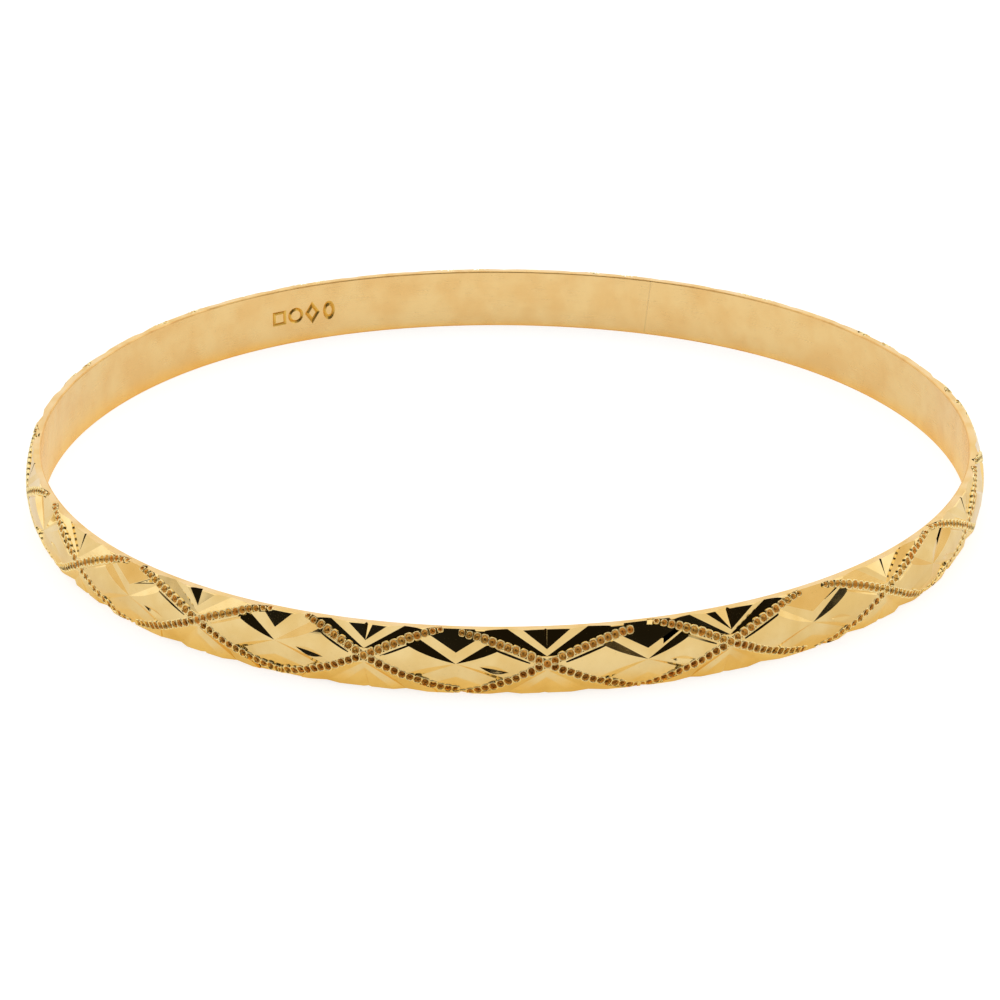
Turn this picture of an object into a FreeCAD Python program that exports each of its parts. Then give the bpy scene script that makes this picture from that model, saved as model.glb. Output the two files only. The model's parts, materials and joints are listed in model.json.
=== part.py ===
import FreeCAD, Part
import os
import sys

import Sketcher

# Bangle bracelet: a closed, rigid, slip-on bangle made from one D-section strip of gold, bent
# into a ring and closed with a soldered butt joint. Its outside is decorated with V-shaped
# diamond cuts: a four-ray star in each lozenge, and a fan of three rays at each edge between
# two lozenges.
#
# Frame: millimetres, origin at the centre of the ring at mid width, +Z along the ring's axis.
# Before the pattern is turned, a star lies on the front meridian (-Y). The number of lozenges
# is odd, so the back meridian (+Y) lies between two lozenges, and a fan is drawn there.

SIZES = {
    # the strip's section
    "inner_radius": 31.75,
    "band_width": 4.42,
    "side_radius": 32.25,
    "shoulder_radius": 32.40,
    "shoulder_drop": 0.17,
    "crown_radius": 32.86,
    "edge_ease": 0.10,
    # the butt joint and the pattern, as angles in degrees about the ring's axis
    "joint_position": 69.3,
    "joint_opening": 0.22,
    "pattern_turn": -5.2,
    "lozenges": 17,
    # star ray: from the middle of a lozenge to the middle of one of its sides
    "star_start_across": 0.0,
    "star_start_height": 0.03,
    "star_start_depth": 0.09,
    "star_end_across": 2.35,
    "star_end_height": 1.45,
    "star_end_depth": 0.56,
    "star_mouth": 0.62,
    "star_edge_wall": 1.75,
    "star_middle_wall": 1.05,
    # fan side ray: from beside the crossing of two lozenge sides out through the edge
    "side_start_across": 0.12,
    "side_start_height": 0.62,
    "side_start_depth": 0.05,
    "side_end_across": 2.32,
    "side_end_height": 2.35,
    "side_end_depth": 0.88,
    "side_mouth": 0.80,
    "side_edge_wall": 1.90,
    "side_middle_wall": 1.30,
    # fan middle ray: straight out through the edge
    "middle_half_width": 0.70,
    "middle_mouth": 0.35,
    "middle_start_height": 0.80,
    "middle_start_depth": 0.0,
    "middle_end_height": 2.40,
    "middle_end_depth": 0.82,
}

# the joint's two faces, as angles before the pattern is turned
JOINT_START = "sizes.joint_position - sizes.pattern_turn - sizes.joint_opening / 2"
JOINT_END = "sizes.joint_position - sizes.pattern_turn + sizes.joint_opening / 2"

UP_IN_SKETCH = FreeCAD.Vector(0, 1, 0)
ORIGIN = (-1, 1)
FRONT = -1
BACK = 1


def make_sheet(doc):
    """The spreadsheet of driving dimensions, one named row each."""
    sheet = doc.addObject("Spreadsheet::Sheet", "sizes")
    for row, (name, value) in enumerate(SIZES.items(), start=1):
        sheet.set(f"A{row}", name)
        sheet.set(f"B{row}", str(value))
        sheet.setAlias(f"B{row}", name)
    return sheet


def origin_feature(body, role):
    """One of the body's own origin planes or axes."""
    return next(part for part in body.Origin.OriginFeatures if part.Role == role)


def new_sketch(body, name, role):
    """A sketch lying in one of the body's own origin planes."""
    sketch = body.newObject("Sketcher::SketchObject", name)
    sketch.AttachmentSupport = [(origin_feature(body, role), "")]
    sketch.MapMode = "FlatFace"
    sketch.Visibility = False
    return sketch


def draw_line(sketch, start, end):
    """A line between two (across, up) places. Gives back its number in the sketch."""
    line = Part.LineSegment(FreeCAD.Vector(*start, 0), FreeCAD.Vector(*end, 0))
    return sketch.addGeometry(line, False)


def hold(sketch, name, axis, first, second, value, expression):
    """Keep second at a positive distance beyond first along an axis, set by the spreadsheet."""
    constraint = Sketcher.Constraint(f"Distance{axis}", *first, *second, value)
    index = sketch.addConstraint(constraint)
    sketch.renameConstraint(index, name)
    sketch.setExpression(f"Constraints.{name}", expression)


def hold_from_origin(sketch, name, point, place, across, up):
    """Hold a point at its signed (across, up) place. across and up are sizes without sign."""
    for axis, value, expression in (("X", place[0], across), ("Y", place[1], up)):
        ends = (ORIGIN, point) if value > 0 else (point, ORIGIN)
        hold(sketch, f"{name}_{axis.lower()}", axis, *ends, abs(value), expression)


def draw_strip_section(body, angle):
    """The D section of the strip: flat inside, eased edges, domed outside.

    It stands in the plane through the ring's axis that is turned from the XZ plane by the
    angle, given as an expression in degrees.
    """
    inner = SIZES["inner_radius"]
    eased = inner + SIZES["edge_ease"]
    side = SIZES["side_radius"]
    shoulder = SIZES["shoulder_radius"]
    crown = SIZES["crown_radius"]
    half = SIZES["band_width"] / 2
    inner_half = half - SIZES["edge_ease"]
    dome_half = half - SIZES["shoulder_drop"]

    # The outline's corners, from the top of the dome round the inside to its bottom: the place
    # and the spreadsheet's expressions for its distance from the axis and from mid width.
    half_width = "sizes.band_width / 2"
    inner_half_width = f"{half_width} - sizes.edge_ease"
    dome_half_width = f"{half_width} - sizes.shoulder_drop"
    eased_radius = "sizes.inner_radius + sizes.edge_ease"
    corners = [
        ("shoulder_top", (shoulder, dome_half), "sizes.shoulder_radius", dome_half_width),
        ("side_top", (side, half), "sizes.side_radius", half_width),
        ("eased_top", (eased, half), eased_radius, half_width),
        ("inner_top", (inner, inner_half), "sizes.inner_radius", inner_half_width),
        ("inner_bottom", (inner, -inner_half), "sizes.inner_radius", inner_half_width),
        ("eased_bottom", (eased, -half), eased_radius, half_width),
        ("side_bottom", (side, -half), "sizes.side_radius", half_width),
        ("shoulder_bottom", (shoulder, -dome_half), "sizes.shoulder_radius", dome_half_width),
    ]
    sketch = new_sketch(body, "strip_section", "XZ_Plane")
    # the sketch's own up direction, +Y, is the ring's axis
    sketch.AttachmentOffset = FreeCAD.Placement(FreeCAD.Vector(), FreeCAD.Rotation(UP_IN_SKETCH, 1))
    sketch.setExpression("AttachmentOffset.Rotation.Angle", angle)
    places = [place for name, place, across, up in corners]
    lines = [draw_line(sketch, *ends) for ends in zip(places, places[1:])]
    top_place = FreeCAD.Vector(*places[0], 0)
    bottom_place = FreeCAD.Vector(*places[-1], 0)
    dome_arc = Part.Arc(bottom_place, FreeCAD.Vector(crown, 0, 0), top_place)
    dome = sketch.addGeometry(dome_arc, False)
    for line, following in zip(lines, lines[1:]):
        sketch.addConstraint(Sketcher.Constraint("Coincident", line, 2, following, 1))
    sketch.addConstraint(Sketcher.Constraint("Coincident", lines[-1], 2, dome, 1))
    sketch.addConstraint(Sketcher.Constraint("Coincident", dome, 2, lines[0], 1))

    points = [(line, 1) for line in lines] + [(lines[-1], 2)]
    for (name, place, across, up), point in zip(corners, points):
        hold_from_origin(sketch, name, point, place, across, up)

    # the dome is the arc through both shoulders and the crown
    rise = crown - shoulder
    radius = (dome_half**2 + rise**2) / (2 * rise)
    index = sketch.addConstraint(Sketcher.Constraint("Radius", dome, radius))
    sketch.renameConstraint(index, "dome_radius")
    rise_size = "(sizes.crown_radius - sizes.shoulder_radius)"
    sketch.setExpression(
        "Constraints.dome_radius",
        f"(({dome_half_width})^2 + {rise_size}^2) / (2 * {rise_size})",
    )
    return sketch


def revolve_section(body, name, sketch, angle):
    """Turn the section about the ring's axis by an angle given as an expression in degrees."""
    ring = body.newObject("PartDesign::Revolution", name)
    ring.Profile = sketch
    ring.ReferenceAxis = (origin_feature(body, "Z_Axis"), [""])
    ring.setExpression("Angle", angle)
    return ring


def draw_slanted_tool(body, kind, end, side):
    """A slanted ray's V tool at one end of the ray, in a plane parallel to YZ.

    The tool is a triangle: the bottom of the V, its mouth towards the strip's edge and its
    mouth towards mid width. side says whether the ray is cut at the front or the back.
    """
    size = {part: SIZES[f"{kind}_{part}"] for part in ("mouth", "edge_wall", "middle_wall")}
    depth = SIZES[f"{kind}_{end}_depth"]
    height = SIZES[f"{kind}_{end}_height"]
    bottom = (side * (SIZES["crown_radius"] - depth), height)
    mouth = bottom[0] + side * size["mouth"]
    corners = [bottom, (mouth, height + size["edge_wall"]), (mouth, height - size["middle_wall"])]

    sketch = new_sketch(body, f"{kind}_tool_{end}", "YZ_Plane")
    sketch.setExpression("AttachmentOffset.Base.z", f"sizes.{kind}_{end}_across")
    lines = [draw_line(sketch, corners[i], corners[(i + 1) % 3]) for i in range(3)]
    for i in range(3):
        following = lines[(i + 1) % 3]
        sketch.addConstraint(Sketcher.Constraint("Coincident", lines[i], 2, following, 1))

    bottom_point, edge_point, middle_point = [(line, 1) for line in lines]
    reach = f"sizes.crown_radius - sizes.{kind}_{end}_depth"
    hold_from_origin(sketch, "bottom", bottom_point, bottom, reach, f"sizes.{kind}_{end}_height")
    for name, point in (("edge", edge_point), ("middle", middle_point)):
        ends = (bottom_point, point) if side == BACK else (point, bottom_point)
        hold(sketch, f"{name}_mouth", "X", *ends, size["mouth"], f"sizes.{kind}_mouth")
    hold(
        sketch, "edge_wall", "Y", bottom_point, edge_point,
        size["edge_wall"], f"sizes.{kind}_edge_wall",
    )
    hold(
        sketch, "middle_wall", "Y", middle_point, bottom_point,
        size["middle_wall"], f"sizes.{kind}_middle_wall",
    )
    return sketch


def draw_upright_tool(body, kind, end):
    """The upright ray's V tool at one end of the ray, at the back, in a plane parallel to XY."""
    half_width = SIZES[f"{kind}_half_width"]
    bottom = (0, SIZES["crown_radius"] - SIZES[f"{kind}_{end}_depth"])
    mouth = bottom[1] + SIZES[f"{kind}_mouth"]
    corners = [bottom, (half_width, mouth), (-half_width, mouth)]

    sketch = new_sketch(body, f"{kind}_tool_{end}", "XY_Plane")
    sketch.setExpression("AttachmentOffset.Base.z", f"sizes.{kind}_{end}_height")
    lines = [draw_line(sketch, corners[i], corners[(i + 1) % 3]) for i in range(3)]
    for i in range(3):
        following = lines[(i + 1) % 3]
        sketch.addConstraint(Sketcher.Constraint("Coincident", lines[i], 2, following, 1))

    bottom_point, right_point, left_point = [(line, 1) for line in lines]
    reach = f"sizes.crown_radius - sizes.{kind}_{end}_depth"
    sketch.addConstraint(Sketcher.Constraint("PointOnObject", *bottom_point, -2))
    hold(sketch, "bottom_y", "Y", ORIGIN, bottom_point, bottom[1], reach)
    for name, point in (("right", right_point), ("left", left_point)):
        hold(
            sketch, f"{name}_mouth", "Y", bottom_point, point,
            SIZES[f"{kind}_mouth"], f"sizes.{kind}_mouth",
        )
    width = f"sizes.{kind}_half_width"
    hold(sketch, "right_wall", "X", bottom_point, right_point, half_width, width)
    hold(sketch, "left_wall", "X", left_point, bottom_point, half_width, width)
    return sketch


def cut_between(body, name, start, end):
    """Take away the straight groove between a tool's two ends."""
    groove = body.newObject("PartDesign::SubtractiveLoft", name)
    groove.Profile = start
    groove.Sections = [end]
    groove.Ruled = True
    return groove


def repeat_round(body, name, groove, mirror_roles):
    """Mirror a groove in the given origin planes and repeat it once for each lozenge."""
    pattern = body.newObject("PartDesign::MultiTransform", name)
    steps = []
    for role in mirror_roles:
        mirror = body.newObject("PartDesign::Mirrored", f"{name}_mirror_{role[:2].lower()}")
        mirror.MirrorPlane = (origin_feature(body, role), [""])
        steps.append(mirror)
    polar = body.newObject("PartDesign::PolarPattern", f"{name}_polar")
    polar.Axis = (origin_feature(body, "Z_Axis"), [""])
    polar.Angle = 360
    polar.setExpression("Occurrences", "sizes.lozenges")
    steps.append(polar)
    pattern.Originals = [groove]
    pattern.Transformations = steps
    body.Tip = pattern
    return pattern


def turn_body(body):
    """Turn a finished body about the ring's axis by the pattern's turn."""
    axis = FreeCAD.Vector(0, 0, 1)
    body.Placement = FreeCAD.Placement(FreeCAD.Vector(), FreeCAD.Rotation(axis, 1))
    body.setExpression("Placement.Rotation.Angle", "sizes.pattern_turn")


def make_solder_joint(doc):
    """The thin slice of solder that fills the strip's butt joint."""
    body = doc.addObject("PartDesign::Body", "solder_joint")
    body.Label = "solder_joint"
    section = draw_strip_section(body, JOINT_START)
    revolve_section(body, "joint_slice", section, "sizes.joint_opening")
    turn_body(body)
    return body


def make_band(doc):
    """The strip bent into a ring, open by the width of the joint, with all of its cuts."""
    body = doc.addObject("PartDesign::Body", "band")
    body.Label = "band"
    section = draw_strip_section(body, JOINT_END)
    revolve_section(body, "ring", section, "360 - sizes.joint_opening")
    doc.recompute()

    star_tools = [draw_slanted_tool(body, "star", end, FRONT) for end in ("start", "end")]
    star_ray = cut_between(body, "star_ray", *star_tools)
    doc.recompute()
    repeat_round(body, "star_rays", star_ray, ["YZ_Plane", "XY_Plane"])
    doc.recompute()

    side_tools = [draw_slanted_tool(body, "side", end, BACK) for end in ("start", "end")]
    side_ray = cut_between(body, "side_ray", *side_tools)
    doc.recompute()
    repeat_round(body, "side_rays", side_ray, ["YZ_Plane", "XY_Plane"])
    doc.recompute()

    middle_tools = [draw_upright_tool(body, "middle", end) for end in ("start", "end")]
    middle_ray = cut_between(body, "middle_ray", *middle_tools)
    doc.recompute()
    repeat_round(body, "middle_rays", middle_ray, ["XY_Plane"])
    turn_body(body)
    return body


def check(doc, bodies):
    """Stop with a plain message if anything in the document failed."""
    for item in doc.Objects:
        if "Invalid" in item.State or "Error" in item.State:
            sys.exit(f"{item.Name} failed: {item.State}")
    for body in bodies:
        shape = body.Shape
        if shape.isNull() or not shape.isValid() or len(shape.Solids) != 1:
            sys.exit(f"{body.Label} is not one valid solid")
        print(body.Label, round(shape.Volume, 2), "mm3", len(shape.Faces), "faces")


def main():
    doc = FreeCAD.newDocument("bangle")
    make_sheet(doc)
    doc.recompute()
    bodies = [make_band(doc), make_solder_joint(doc)]
    doc.recompute()
    check(doc, bodies)
    os.makedirs("parts", exist_ok=True)
    for body in bodies:
        body.Shape.exportStep(f"parts/{body.Label}.step")


main()
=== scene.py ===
import json
import math
import random

import bpy
import numpy as np
from mathutils import Matrix, Vector


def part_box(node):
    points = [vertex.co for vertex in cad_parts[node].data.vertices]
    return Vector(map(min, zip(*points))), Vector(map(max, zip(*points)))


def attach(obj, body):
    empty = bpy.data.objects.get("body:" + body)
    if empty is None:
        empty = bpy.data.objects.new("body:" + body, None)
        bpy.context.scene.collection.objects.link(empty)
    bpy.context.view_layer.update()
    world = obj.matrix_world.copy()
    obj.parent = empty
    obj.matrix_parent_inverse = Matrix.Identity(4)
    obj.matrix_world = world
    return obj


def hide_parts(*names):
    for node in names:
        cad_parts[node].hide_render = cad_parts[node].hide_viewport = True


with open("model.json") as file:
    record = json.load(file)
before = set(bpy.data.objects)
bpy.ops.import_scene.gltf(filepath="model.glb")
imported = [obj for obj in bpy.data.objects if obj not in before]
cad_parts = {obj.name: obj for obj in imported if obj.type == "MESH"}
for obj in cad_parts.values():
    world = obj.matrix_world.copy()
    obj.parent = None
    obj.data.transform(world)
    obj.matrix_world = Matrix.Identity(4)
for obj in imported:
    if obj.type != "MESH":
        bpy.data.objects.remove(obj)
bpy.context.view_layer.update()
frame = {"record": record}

# The looks of the bangle: the finely cut band with its beaded lines, the solder seam and the
# punch marks inside, the gold they are made of, a pale floor and soft studio light.
# Meshes are made in millimetres, in the part's own frame, and scaled to metres at the end.

MM = 0.001
SEED = 7

# -------------------------------- sizes, in millimetres
band_low, band_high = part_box("band")
bore = next(m for m in frame["record"]["mounts"] if m["name"] == "wrist_opening")
INNER_RADIUS = bore["dims"]["r_mm"]
CROWN_RADIUS = band_high.x / MM
HALF_WIDTH = band_high.z / MM
FLOOR_HEIGHT = band_low.z / MM

EDGE_EASE = 0.10
RIM_DEPTH = 0.50
SIDE_RADIUS = INNER_RADIUS + RIM_DEPTH
SHOULDER_ROUND = 0.20
EASE_STEPS = 5
SHOULDER_STEPS = 6
DOME_STEPS = 28

# The dome is the arc that touches the rounded shoulders and reaches the crown.
SHOULDER_CENTRE = HALF_WIDTH - SHOULDER_ROUND
CROWN_RISE = CROWN_RADIUS - SIDE_RADIUS
DOME_RADIUS = (CROWN_RISE**2 + SHOULDER_CENTRE**2 - SHOULDER_ROUND**2) / (
    2 * (CROWN_RISE - SHOULDER_ROUND)
)
DOME_CENTRE = CROWN_RADIUS - DOME_RADIUS
DOME_HALF_ANGLE = math.atan2(SHOULDER_CENTRE, SIDE_RADIUS - DOME_CENTRE)

# The band is bent by hand and a little out of round: its radius swings by these shares of the
# inner radius, as (turns, cosine share, sine share).
OUT_OF_ROUND = [
    (2, 0.00709, -0.00665),
    (3, 0.00383, -0.00047),
    (4, -0.00255, 0.00003),
    (5, 0.00004, -0.00156),
    (6, 0.00108, 0.00009),
]

# The cut pattern: lozenges between crossing beaded lines.
LOZENGES = 17
PITCH_ANGLE = 2 * math.pi / LOZENGES
HALF_PITCH = PITCH_ANGLE * CROWN_RADIUS / 2
FIRST_STAR = math.radians(-95.2)
JOINT_ANGLE = math.radians(69.3)
JOINT_WIDTH = 0.124
JOINT_SLANT = math.radians(7)
MARKS_ANGLE = math.radians(118)

AROUND_PER_LOZENGE = 20

# The kinds of face: plain, cut flat and cut round on the band, plain and painted-shade dark in a
# pit.
BASE_FACE = 0
FLAT_CUT = 1
ROUND_CUT = 2
DEEP = 1

# Where the star and the crossing of each lozenge sit off the even pattern, as (around, height).
# The lozenges at the front have places of their own, by number; the others are drawn from the
# seeded generator, between these limits.
STAR_LIMITS = ((-0.25, 0.25), (-0.02, 0.18))
CROSSING_LIMITS = ((-0.3, 0.3), (0.10, 0.26))
STEEPNESS_LIMITS = (0.94, 1.08)
STAR_PLACES = {
    -2: (0.20, 0.10),
    -1: (0.18, 0.33),
    0: (0.0, 0.08),
    1: (0.05, -0.12),
    2: (-0.28, 0.0),
}
CROSSING_PLACES = {
    -2: (0.35, 0.31),
    -1: (0.17, 0.22),
    0: (-0.33, 0.10),
    1: (-0.43, 0.15),
    2: (0.38, 0.20),
}
# The stars beside the middle three are struck more lightly.
STAR_DEPTHS = {-2: 0.55, 2: 0.55}
# The fans whose middle groove has one broad wall, as (left width, right width, depth).
BROAD_GROOVES = {-2: (1.15, 0.12, 0.26), -1: (0.12, 0.55, 0.24), 1: (1.15, 0.12, 0.28)}
# How steeply beaded lines leave a crossing, against the usual slope, by (side, up).
LINE_STEEPNESS = {
    -1: {(-1, 1): 1.20, (1, 1): 1.04},
    0: {(-1, 1): 0.96, (1, 1): 0.88, (-1, -1): 1.05, (1, -1): 0.97},
}


# -------------------------------- the plain band
def arc(centre, radius, start, end, steps):
    """Points of an arc in the (radius, height) plane, the first one left out."""
    angles = [start + (end - start) * step / steps for step in range(1, steps + 1)]
    return [(centre[0] + radius * math.cos(a), centre[1] + radius * math.sin(a)) for a in angles]


def band_section():
    """The strip's section as a closed outline, from the inner wall's top over the outside."""
    upper = [(INNER_RADIUS, HALF_WIDTH - EDGE_EASE)]
    ease_centre = (INNER_RADIUS + EDGE_EASE, HALF_WIDTH - EDGE_EASE)
    upper += arc(ease_centre, EDGE_EASE, math.pi, math.pi / 2, EASE_STEPS)
    upper += [(SIDE_RADIUS, HALF_WIDTH)]
    shoulder = (SIDE_RADIUS, SHOULDER_CENTRE)
    upper += arc(shoulder, SHOULDER_ROUND, math.pi / 2, DOME_HALF_ANGLE, SHOULDER_STEPS)
    dome = arc((DOME_CENTRE, 0), DOME_RADIUS, DOME_HALF_ANGLE, -DOME_HALF_ANGLE, DOME_STEPS)
    lower = [(r, -z) for r, z in reversed(upper[:-1])]
    return upper + dome + lower


def section_normal(radius, height):
    """The outward direction, as (radial, axial), of the plain band at a point on it."""
    up = 1 if height >= 0 else -1
    tall = abs(height)
    if radius < INNER_RADIUS + EDGE_EASE:
        if tall < HALF_WIDTH - EDGE_EASE:
            return -1.0, 0.0
        across = radius - (INNER_RADIUS + EDGE_EASE)
        along = tall - (HALF_WIDTH - EDGE_EASE)
    elif radius < SIDE_RADIUS:
        return 0.0, float(up)
    elif math.atan2(tall - SHOULDER_CENTRE, radius - SIDE_RADIUS) > DOME_HALF_ANGLE:
        across = radius - SIDE_RADIUS
        along = tall - SHOULDER_CENTRE
    else:
        across = radius - DOME_CENTRE
        along = tall
    length = math.hypot(across, along) or 1
    return across / length, up * along / length


def new_object(name, points, faces, kinds):
    """A mesh object whose faces carry their kinds as material numbers."""
    mesh = bpy.data.meshes.new(name)
    mesh.from_pydata([tuple(p) for p in points], [], faces)
    piece = bpy.data.objects.new(name, mesh)
    bpy.context.scene.collection.objects.link(piece)
    for kind in (BASE_FACE, FLAT_CUT, ROUND_CUT):
        label = f"kind_{kind}"
        mesh.materials.append(bpy.data.materials.get(label) or bpy.data.materials.new(label))
    mesh.polygons.foreach_set("material_index", kinds)
    mesh.update()
    return piece


def strip(start, after, count):
    """The faces between two rings of points, from the numbers of their first points."""
    return [
        (start + corner, start + beside, after + beside, after + corner)
        for corner, beside in enumerate([*range(1, count), 0])
    ]


def plain_band():
    """The uncut ring: the section carried round."""
    section = band_section()
    count = len(section)
    around = LOZENGES * AROUND_PER_LOZENGE
    points = []
    faces = []
    for turn in range(around):
        angle = 2 * math.pi * turn / around
        points += [(r * math.cos(angle), r * math.sin(angle), z) for r, z in section]
        faces += strip(turn * count, (turn + 1) % around * count, count)
    return new_object("cut_band", points, faces, [BASE_FACE] * len(faces))


# -------------------------------- places on the band
def dome_radius(height):
    """How far the uncut dome is from the axis at a height."""
    return DOME_CENTRE + math.sqrt(max(DOME_RADIUS**2 - height**2, 0))


def ring_point(angle, radius, height):
    return Vector((radius * math.cos(angle), radius * math.sin(angle), height))


class Spot:
    """A place on the dome with a flat frame of its own: x around, y outward, z up.

    A crossing also has the steepness of its lines and perhaps a broad groove, a star its strength.
    """

    def __init__(self, angle, height, steep=None, strength=1.0, groove=None):
        self.angle = angle
        self.height = height
        self.steep = steep or {}
        self.strength = strength
        self.groove = groove

    def at(self, across, height, depth=0.0):
        """The point at a distance around and a height, on the dome or a depth under it."""
        radius = dome_radius(height) - depth
        turn = across / CROWN_RADIUS
        return Vector((radius * math.sin(turn), radius * math.cos(turn), height))

    def world(self, local):
        """The same point in the part's frame."""
        cos, sin = math.cos(self.angle), math.sin(self.angle)
        return Vector((local.y * cos - local.x * sin, local.y * sin + local.x * cos, local.z))


def plane_through(first, second, third):
    """The plane y = c + a x + b z through three local points, as the array (c, a, b)."""
    rows = [[1, point.x, point.z] for point in (first, second, third)]
    return np.linalg.solve(rows, [point.y for point in (first, second, third)])


def on_plane(plane, x, z):
    """The plane's point over a local place."""
    return Vector((x, plane[0] + plane[1] * x + plane[2] * z, z))


def shared_x(first, second, z):
    """Where two planes meet at a height."""
    return -((first[0] - second[0]) + (first[2] - second[2]) * z) / (first[1] - second[1])


def drawn(chance, limits):
    """A seeded number between each pair of limits."""
    return tuple(chance.uniform(low, high) for low, high in limits)


def pattern_spots():
    """The stars and the crossings, each a Spot, by their number around the band."""
    chance = random.Random(SEED)
    stars = []
    crossings = []
    for number in range(LOZENGES):
        wrapped = number - LOZENGES if number > LOZENGES / 2 else number
        spread = drawn(chance, STAR_LIMITS)
        around, height = STAR_PLACES.get(wrapped, spread)
        angle = FIRST_STAR + number * PITCH_ANGLE
        strength = STAR_DEPTHS.get(wrapped, 1.0)
        stars.append(Spot(angle + around / CROWN_RADIUS, height, strength=strength))
        spread = drawn(chance, CROSSING_LIMITS)
        around, height = CROSSING_PLACES.get(wrapped, spread)
        angle += PITCH_ANGLE / 2
        halves = [(side, up) for side in (-1, 1) for up in (-1, 1)]
        steep = {half: chance.uniform(*STEEPNESS_LIMITS) for half in halves}
        steep.update(LINE_STEEPNESS.get(wrapped, {}))
        groove = BROAD_GROOVES.get(wrapped)
        crossings.append(Spot(angle + around / CROWN_RADIUS, height, steep, groove=groove))
    return stars, crossings


# -------------------------------- the cutting tools
# the tops of the facets' tools, outward of the whole band
LID = 34.6


class Tools:
    """Closed solids that are taken away from the band together."""

    def __init__(self):
        self.points = []
        self.faces = []
        self.kinds = []

    def add(self, points, faces, kind):
        """Take in a closed solid, its faces turned outward."""
        volume = sum(
            points[face[0]].dot(points[a].cross(points[b]))
            for face in faces
            for a, b in zip(face[1:], face[2:])
        )
        if volume < 0:
            faces = [tuple(reversed(face)) for face in faces]
        first = len(self.points)
        self.points += points
        self.faces += [tuple(first + corner for corner in face) for face in faces]
        self.kinds += [kind] * len(faces)

    def patch(self, spot, polygons, kind=FLAT_CUT):
        """A solid whose underside is a patch of facets, given in the spot's frame."""
        numbers = {}
        bottom = []
        under = []
        for polygon in polygons:
            corners = []
            for point in polygon:
                key = (round(point.x, 5), round(point.z, 5))
                if key not in numbers:
                    numbers[key] = len(bottom)
                    bottom.append(point)
                corners.append(numbers[key])
            turn = sum(
                bottom[a].x * bottom[b].z - bottom[b].x * bottom[a].z
                for a, b in zip(corners, corners[1:] + corners[:1])
            )
            under.append(corners if turn > 0 else corners[::-1])
        count = len(bottom)
        top = [Vector((point.x, LID, point.z)) for point in bottom]
        edges = {(a, b) for face in under for a, b in zip(face, face[1:] + face[:1])}
        faces = [tuple(face[::-1]) for face in under]
        faces += [tuple(corner + count for corner in face) for face in under]
        faces += [
            (a, b, b + count, a + count) for a, b in sorted(edges) if (b, a) not in edges
        ]
        self.add([spot.world(point) for point in bottom + top], faces, kind)

    def swept(self, stations, kind, closed=False):
        """A bar through a list of equal closed outlines."""
        count = len(stations[0])
        points = [point for outline in stations for point in outline]
        faces = []
        for place in range(len(stations) - (0 if closed else 1)):
            faces += strip(place * count, (place + 1) % len(stations) * count, count)
        if not closed:
            last = (len(stations) - 1) * count
            faces.append(tuple(reversed(range(count))))
            faces.append(tuple(last + corner for corner in range(count)))
        self.add(points, faces, kind)

    def build(self, name):
        return new_object(name, self.points, self.faces, self.kinds)


# -------------------------------- the beaded lines
# The slope of the upper and lower lines at their crossing, and how it flattens further out.
UP_RISE = (0.48, 0.0030)
DOWN_RISE = (0.49, 0.0026)
ARC_AT_SHOULDER = DOME_HALF_ANGLE * DOME_RADIUS
ARC_AT_FLAT = ARC_AT_SHOULDER + SHOULDER_ROUND * (math.pi / 2 - DOME_HALF_ANGLE)


def line_rise(crossing, side, up, distance):
    """How far a beaded line has climbed or dropped at a distance from its crossing."""
    slope, bend = UP_RISE if up > 0 else DOWN_RISE
    return crossing.steep.get((side, up), 1.0) * slope * distance - bend * distance**3


def line_height(crossing, side, up, distance):
    """The height of a beaded line at a distance from the crossing it leaves."""
    return crossing.height + up * line_rise(crossing, side, up, distance)


def section_place(arc_height):
    """Radius and height at a distance walked over the section from mid width."""
    up = 1 if arc_height >= 0 else -1
    walked = abs(arc_height)
    if walked < ARC_AT_SHOULDER:
        angle = walked / DOME_RADIUS
        return DOME_CENTRE + DOME_RADIUS * math.cos(angle), up * DOME_RADIUS * math.sin(angle)
    if walked < ARC_AT_FLAT:
        angle = DOME_HALF_ANGLE + (walked - ARC_AT_SHOULDER) / SHOULDER_ROUND
        radius = SIDE_RADIUS + SHOULDER_ROUND * math.cos(angle)
        return radius, up * (SHOULDER_CENTRE + SHOULDER_ROUND * math.sin(angle))
    return SIDE_RADIUS - (walked - ARC_AT_FLAT), up * HALF_WIDTH


TILT_GROWTH = 0.55
TILT_FROM = 1.6
MOST_TILT = math.radians(62)


def sink_angle(arc_height):
    """The tilt at which pits and troughs sink; it grows towards the edges, up to a limit."""
    walked = abs(arc_height)
    tilt = walked / DOME_RADIUS + TILT_GROWTH * max(0, walked - TILT_FROM) ** 2
    return math.copysign(min(tilt, MOST_TILT), arc_height)


def surface_point(angle, around, arc_height, level):
    """A point over (level > 0) or under the band's surface."""
    radius, height = section_place(arc_height)
    tilt = sink_angle(arc_height)
    return ring_point(
        angle + around / CROWN_RADIUS,
        radius + level * math.cos(tilt),
        height + level * math.sin(tilt),
    )


BEAD_PITCH = 0.54
FIRST_BEAD = 0.03
LAST_ARC = ARC_AT_FLAT + 0.03
# how far before mid lozenge the beads of an upper and of a lower line stop
BEADLESS_END = {1: 0.6, -1: 0.15}

# The trough under the beads: its depth, half widths and lid, and how far it runs on past the
# crossing and past the last bead.
CHANNEL_DEPTH = 0.30
CHANNEL_BOTTOM = 0.17
CHANNEL_TOP = 0.36
CHANNEL_LID = 0.40
CHANNEL_BACK = 0.25
CHANNEL_PAST = 0.12
CHANNEL_STEPS = 22
CHANNEL_PROFILE = [
    (-CHANNEL_DEPTH, -CHANNEL_BOTTOM),
    (-CHANNEL_DEPTH, CHANNEL_BOTTOM),
    (CHANNEL_LID, CHANNEL_TOP),
    (CHANNEL_LID, -CHANNEL_TOP),
]


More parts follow.
